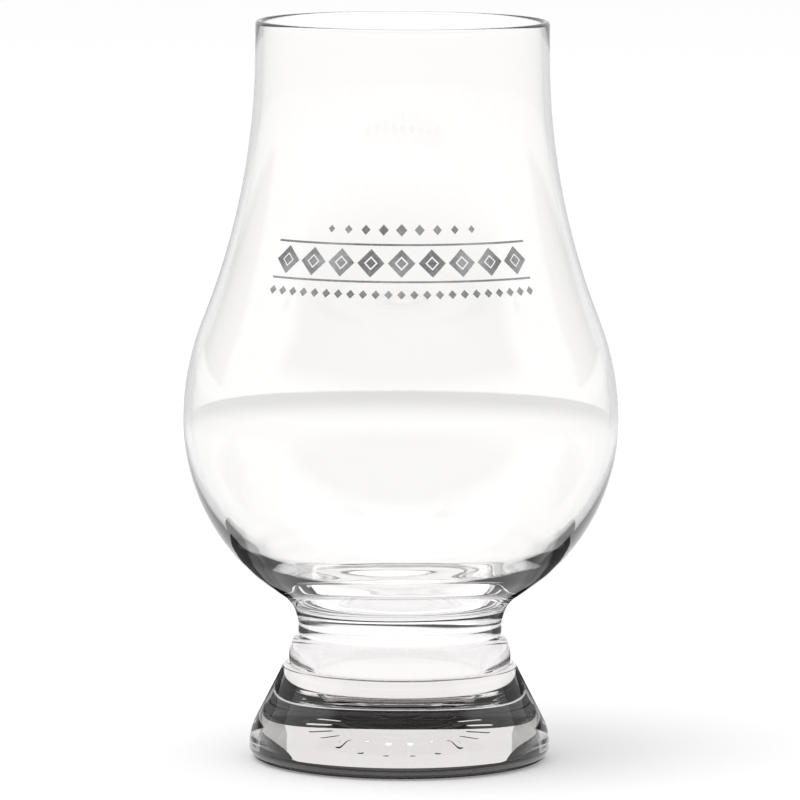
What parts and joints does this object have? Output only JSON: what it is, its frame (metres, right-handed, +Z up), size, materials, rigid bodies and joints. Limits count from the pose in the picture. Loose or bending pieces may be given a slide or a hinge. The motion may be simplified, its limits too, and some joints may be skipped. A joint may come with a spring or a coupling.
{
  "type": "whisky nosing glass",
  "caption": "Clear tulip nosing glass: round belly narrowing to a slim throat, on a knop and a solid conical foot.",
  "frame": {"origin": "middle of the flat ring under the foot, on the table", "axes": "+Z up along the glass's axis of turning, -Y towards the viewer: the decoration faces -Y"},
  "size_m": [0.0676, 0.0676, 0.115],
  "materials": {
    "blown_crystal": "fire polished, clear lead free crystal",
    "pressed_crystal": "pressed and fire polished, clear lead free crystal",
    "fired_enamel": "satin grey glass enamel, screen printed and fired"
  },
  "bodies": {
    "root": {"bowl": "blown_crystal", "knop": "blown_crystal", "foot": "pressed_crystal", "print_crest": "fired_enamel", "print_band": "fired_enamel", "print_dots": "fired_enamel"}
  },
  "joints": []
}
